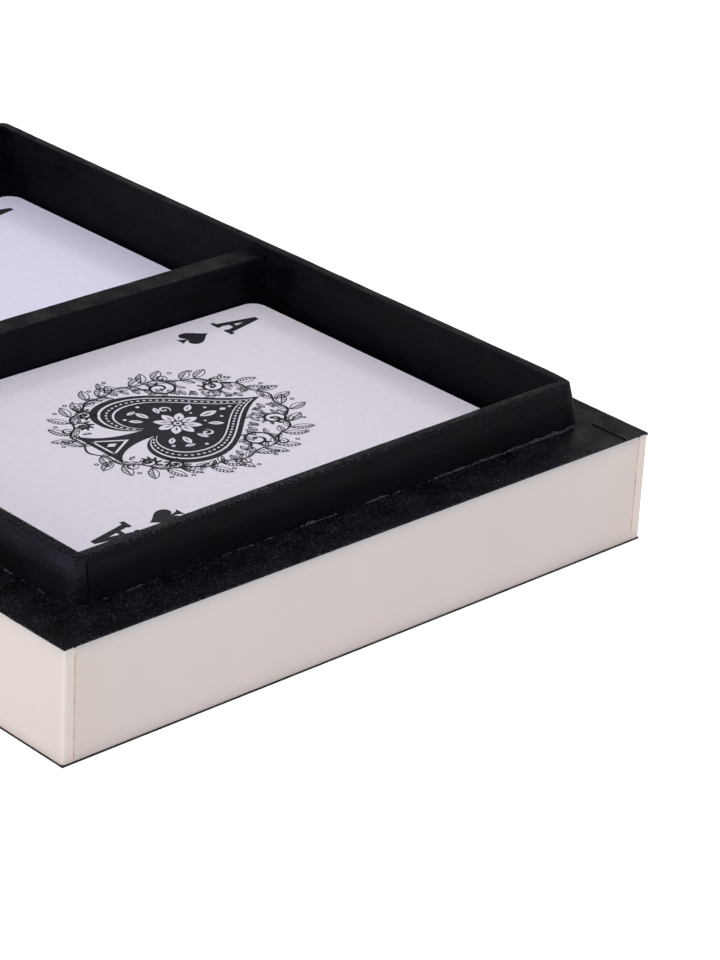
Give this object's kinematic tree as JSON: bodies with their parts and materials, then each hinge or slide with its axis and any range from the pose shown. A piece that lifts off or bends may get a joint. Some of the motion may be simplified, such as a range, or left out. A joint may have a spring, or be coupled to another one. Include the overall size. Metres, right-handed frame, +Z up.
{
  "type": "card box",
  "caption": "Black wooden card box base with bone-coloured facing strips, a raised lip for a lid, and a divider between compartments that each hold a deck of playing cards.",
  "frame": {"origin": "middle of the underside of the box, level with the table", "axes": "+X along the length of the box, +Y to its back, the side that the cards' tops point to, +Z up"},
  "size_m": [0.177, 0.126, 0.0282],
  "materials": {
    "black_felt": "matte felt",
    "stained_board": "matte black stain",
    "black_painted_frame": "brushed matte black paint",
    "black_painted_liner": "satin black paint, worn along the edges",
    "bone_coloured_resin": "polished satin",
    "card_edges": "cut paper edges",
    "card_face": "smooth coated card"
  },
  "bodies": {
    "box": {"base_felt": "black_felt", "base_board": "stained_board", "frame_wall_front": "black_painted_frame", "frame_wall_back": "black_painted_frame", "frame_wall_left": "black_painted_frame", "frame_wall_right": "black_painted_frame", "liner_front": "black_painted_liner", "liner_back": "black_painted_liner", "liner_left": "black_painted_liner", "liner_right": "black_painted_liner", "divider": "black_painted_liner", "cladding_front": "bone_coloured_resin", "cladding_back": "bone_coloured_resin", "cladding_left": "bone_coloured_resin", "cladding_right": "bone_coloured_resin"},
    "deck_left": {"deck_left": "card_edges"},
    "deck_right": {"deck_right": "card_edges"},
    "ace_left": {"ace_left": "card_face"},
    "ace_right": {"ace_right": "card_face"}
  },
  "joints": [
    {"name": "deck_left_lift", "type": "slide", "parent": "box", "child": "deck_left", "axis": [0, 0, 1], "range_m": [0, 0.03]},
    {"name": "ace_left_lift", "type": "slide", "parent": "deck_left", "child": "ace_left", "axis": [0, 0, 1], "range_m": [0, 0.03]},
    {"name": "deck_right_lift", "type": "slide", "parent": "box", "child": "deck_right", "axis": [0, 0, 1], "range_m": [0, 0.03]},
    {"name": "ace_right_lift", "type": "slide", "parent": "deck_right", "child": "ace_right", "axis": [0, 0, 1], "range_m": [0, 0.03]}
  ]
}
